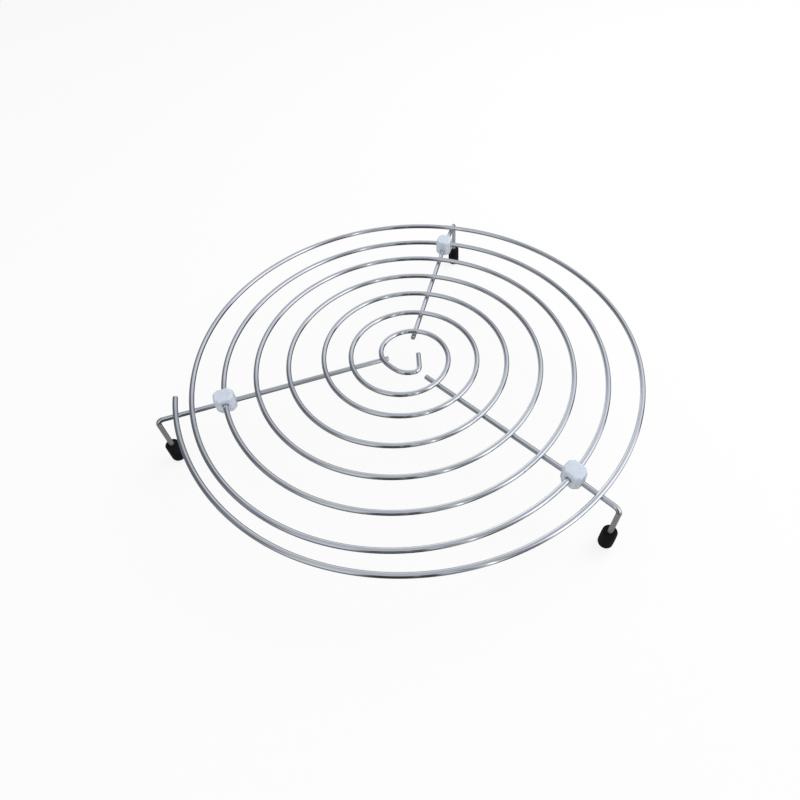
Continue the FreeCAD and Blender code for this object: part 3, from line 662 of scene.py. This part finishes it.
# --------------------------------------------------- studio, floor and camera
def studio_group():
    """The studio that shiny surfaces reflect: a soft grey room with a big light
    panel at the right, a paler wall behind, and dark gaps between the panels."""
    g = bpy.data.node_groups.new("studio_room", "ShaderNodeTree")
    g.interface.new_socket("Direction", in_out="INPUT", socket_type="NodeSocketVector")
    g.interface.new_socket("Color", in_out="OUTPUT", socket_type="NodeSocketColor")
    n = Nodes(g)
    gin = n.new("NodeGroupInput")
    gout = n.new("NodeGroupOutput")
    x, y, z = n.split(gin.outputs[0])
    az = n.math("MULTIPLY", n.math("ARCTAN2", x, y), 180 / math.pi)
    el = n.math("MULTIPLY", n.math("ARCSINE", z), 180 / math.pi)

    def window(value, lo, hi, soft):
        up = n.ramp(value, lo - soft, lo + soft)
        down = n.ramp(value, hi - soft, hi + soft, 1.0, 0.0)
        return n.math("MULTIPLY", up, down)

    def patch(old, az_lo, az_hi, az_soft, el_lo, el_hi, el_soft, colour):
        m = window(az, az_lo, az_hi, az_soft)
        m = n.math("MULTIPLY", m, window(el, el_lo, el_hi, el_soft))
        return n.mix(m, old, (colour[0], colour[1], colour[2], 1))

    col = n.mix(n.ramp(el, -22.0, 6.0), (0.20, 0.207, 0.215, 1), (0.50, 0.515, 0.545, 1))
    for p in PATCHES:
        col = patch(col, *p)
    n.link(col, gout.inputs[0])
    return g


# azimuth from, to, softness; elevation from, to, softness; colour
PATCHES = [
    (-157, -130, 5, -8, 62, 8, (0.64, 0.66, 0.69)),
    (-123, -62, 8, -10, 54, 10, (0.140, 0.147, 0.160)),
    (-66, -34, 6, 10, 58, 8, (0.115, 0.125, 0.140)),
    (-112, -97, 3, 0, 44, 6, (0.26, 0.27, 0.28)),
    (-127, -60, 6, -60, -14, 8, (0.27, 0.28, 0.29)),
    (-24, 9, 4, -6, 38, 8, (0.72, 0.74, 0.76)),
    (-33, -2, 4, -52, 2, 7, (1.18, 1.20, 1.21)),
    (-50, -30, 5, -52, -8, 6, (0.66, 0.68, 0.70)),
    (-14, -4, 2.5, -6, 30, 5, (1.25, 1.27, 1.28)),
    (34, 76, 6, 20, 54, 8, (0.80, 0.84, 0.92)),
    (16, 34, 4, 36, 52, 5, (0.88, 0.90, 0.95)),
    (38, 70, 6, 0, 30, 8, (0.66, 0.68, 0.73)),
    (26, 74, 6, -74, -16, 7, (0.025, 0.027, 0.032)),
    (70, 77, 2, -50, 6, 5, (0.08, 0.082, 0.088)),
    (79, 130, 3, -20, 52, 10, (1.16, 1.18, 1.21)),
    (118, 126, 2, -12, 40, 6, (1.70, 1.72, 1.74)),
    (84, 128, 5, -60, -22, 8, (0.36, 0.37, 0.385)),
    (134, 145, 2.5, -24, 66, 6, (0.25, 0.255, 0.265)),
    (130, 147, 3, -80, -24, 6, (0.045, 0.046, 0.05)),
    (148, 157, 2, -70, 68, 6, (0.58, 0.59, 0.61)),
    (152, 155, 0.9, -12, 30, 4, (1.8, 1.8, 1.8)),
    (159, 165, 2, -70, 60, 6, (0.31, 0.315, 0.33)),
    (172.5, 181, 2.5, -80, 44, 8, (0.062, 0.063, 0.068)),
    (-181, -160, 5, -80, 42, 8, (0.048, 0.049, 0.053)),
    (-20, 20, 5, -95, -36, 5, (0.03, 0.031, 0.036)),
    (-44, 44, 5, -95, -54, 5, (0.03, 0.031, 0.036)),
    (-75, 75, 6, -95, -68, 5, (0.03, 0.031, 0.036)),
]
studio = studio_group()

world = bpy.data.worlds.new("studio_world")
bpy.context.scene.world = world
world.use_nodes = True
n = Nodes(world.node_tree)
out = n.new("ShaderNodeOutputWorld")
light_path = n.new("ShaderNodeLightPath")
plain = n.new("ShaderNodeBackground")
plain.inputs[0].default_value = (1.0, 1.0, 1.0, 1)
plain.inputs[1].default_value = 0.62
room = n.new("ShaderNodeBackground")
grp = n.new("ShaderNodeGroup")
grp.node_tree = studio
n.link(n.new("ShaderNodeTexCoord").outputs["Generated"], grp.inputs[0])
n.link(grp.outputs[0], room.inputs[0])
room.inputs[1].default_value = 1.0
mixer = n.new("ShaderNodeMixShader")
n.link(light_path.outputs["Is Glossy Ray"], mixer.inputs[0])
n.link(plain.outputs[0], mixer.inputs[1])
n.link(room.outputs[0], mixer.inputs[2])
backdrop = n.new("ShaderNodeBackground")
backdrop.inputs[0].default_value = (0.985, 0.985, 0.985, 1)
seen_plain = n.new("ShaderNodeMixShader")
n.link(light_path.outputs["Is Camera Ray"], seen_plain.inputs[0])
n.link(mixer.outputs[0], seen_plain.inputs[1])
n.link(backdrop.outputs[0], seen_plain.inputs[2])
n.link(seen_plain.outputs[0], out.inputs[0])

me = bpy.data.meshes.new("floor")
size = 4.0
me.from_pydata([(-size, -size, 0), (size, -size, 0), (size, size, 0), (-size, size, 0)], [], [(0, 1, 2, 3)])
floor = link(me, "floor")
floor.location.z = cad_lo.z - 0.02 * MM
floor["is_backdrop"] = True
fm = bpy.data.materials.new("pale_floor")
fm.use_nodes = True
n = Nodes(fm.node_tree)
out = n.new("ShaderNodeOutputMaterial")
diff = n.new("ShaderNodeBsdfDiffuse")
pos = n.new("ShaderNodeTexCoord").outputs["Object"]
speck = n.noise(pos, 900.0, 3.0, 0.6)
n.link(n.mix(speck, (0.86, 0.86, 0.86, 1), (0.90, 0.90, 0.90, 1)), diff.inputs[0])
glow = n.new("ShaderNodeEmission")
glow.inputs[0].default_value = (1, 1, 1, 1)
glow.inputs[1].default_value = 1.0
both = n.new("ShaderNodeMixShader")
both.inputs[0].default_value = 0.84
n.link(diff.outputs[0], both.inputs[1])
n.link(glow.outputs[0], both.inputs[2])
seen = n.new("ShaderNodeEmission")
grp = n.new("ShaderNodeGroup")
grp.node_tree = studio
away = n.new("ShaderNodeVectorMath", operation="SCALE")
n.link(n.new("ShaderNodeNewGeometry").outputs["Incoming"], away.inputs[0])
away.inputs["Scale"].default_value = -1.0
n.link(away.outputs[0], grp.inputs[0])
n.link(grp.outputs[0], seen.inputs[0])
last = n.new("ShaderNodeMixShader")
n.link(n.new("ShaderNodeLightPath").outputs["Is Glossy Ray"], last.inputs[0])
n.link(both.outputs[0], last.inputs[1])
n.link(seen.outputs[0], last.inputs[2])
# the floor is clear from below, so the underside of the rack can be looked at
below = n.new("ShaderNodeMixShader")
n.link(n.new("ShaderNodeNewGeometry").outputs["Backfacing"], below.inputs[0])
n.link(last.outputs[0], below.inputs[1])
n.link(n.new("ShaderNodeBsdfTransparent").outputs[0], below.inputs[2])
n.link(below.outputs[0], out.inputs[0])
me.materials.append(fm)


def panel(name, place, target, sx, sy, power, glossy=False):
    light = bpy.data.lights.new(name, "AREA")
    light.shape = "RECTANGLE"
    light.size, light.size_y = sx, sy
    light.energy = power
    o = bpy.data.objects.new(name, light)
    bpy.context.scene.collection.objects.link(o)
    o.location = place
    o.rotation_mode = "QUATERNION"
    o.rotation_quaternion = (Vector(target) - Vector(place)).to_track_quat("-Z", "Y")
    o.visible_glossy = glossy
    return o


panel("key_panel", (0.75, 0.35, 1.0), (0, 0, 0.04), 0.9, 0.9, 9.5)
panel("fill_panel", (-0.6, -0.8, 0.9), (0, 0, 0.04), 1.0, 1.0, 1.5)

# the camera: 321 mm above the table, 263 mm in front of the rack's middle
el, roll = math.radians(49.38), math.radians(-2.34)
fwd = Vector((0, math.cos(el), -math.sin(el)))
right = Vector((1, 0, 0))
down = fwd.cross(right)
rx = right * math.cos(roll) - down * math.sin(roll)
rd = right * math.sin(roll) + down * math.cos(roll)
cam = bpy.data.cameras.new("camera")
cam.sensor_width = 36.0
cam.lens = 561.67 / 800 * 36.0
cam.shift_x = (400 - 427.15) / 800
cam.shift_y = (378.75 - 400) / 800
cam.clip_start, cam.clip_end = 0.01, 20
co = bpy.data.objects.new("camera", cam)
bpy.context.scene.collection.objects.link(co)
co.matrix_world = Matrix((
    (rx.x, -rd.x, -fwd.x, 0.016450),
    (rx.y, -rd.y, -fwd.y, -0.262781),
    (rx.z, -rd.z, -fwd.z, 0.320947),
    (0, 0, 0, 1),
))
scene = bpy.context.scene
scene.camera = co
scene.view_settings.view_transform = "Standard"
scene.view_settings.look = "None"

lo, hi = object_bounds()
